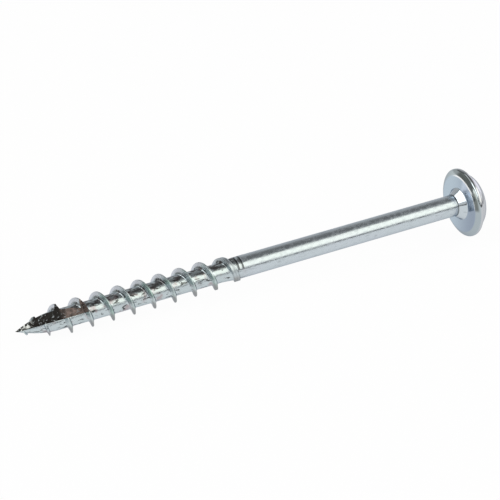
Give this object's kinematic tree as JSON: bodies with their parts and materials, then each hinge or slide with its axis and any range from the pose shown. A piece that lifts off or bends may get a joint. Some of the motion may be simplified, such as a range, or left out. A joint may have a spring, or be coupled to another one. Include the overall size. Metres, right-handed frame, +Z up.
{
  "type": "pocket hole screw",
  "caption": "Coarse thread pocket hole wood screw with a washer head, a plain shank, a slotted drill point and a square drive recess, in bright zinc.",
  "frame": {"origin": "centre of the bounding box on the ground plane, with the screw lying at rest on the rim of its head and on a crest of its thread", "axes": "+X towards the head and within 3 degrees of the screw's axis, +Z up from the ground"},
  "size_m": [0.066, 0.009, 0.0091],
  "materials": {
    "bright_zinc": "bright zinc plating over cold formed steel, with faint blue and grey tints, fine drawing lines and a rougher root of the thread"
  },
  "bodies": {
    "root": {"screw": "bright_zinc"}
  },
  "joints": []
}
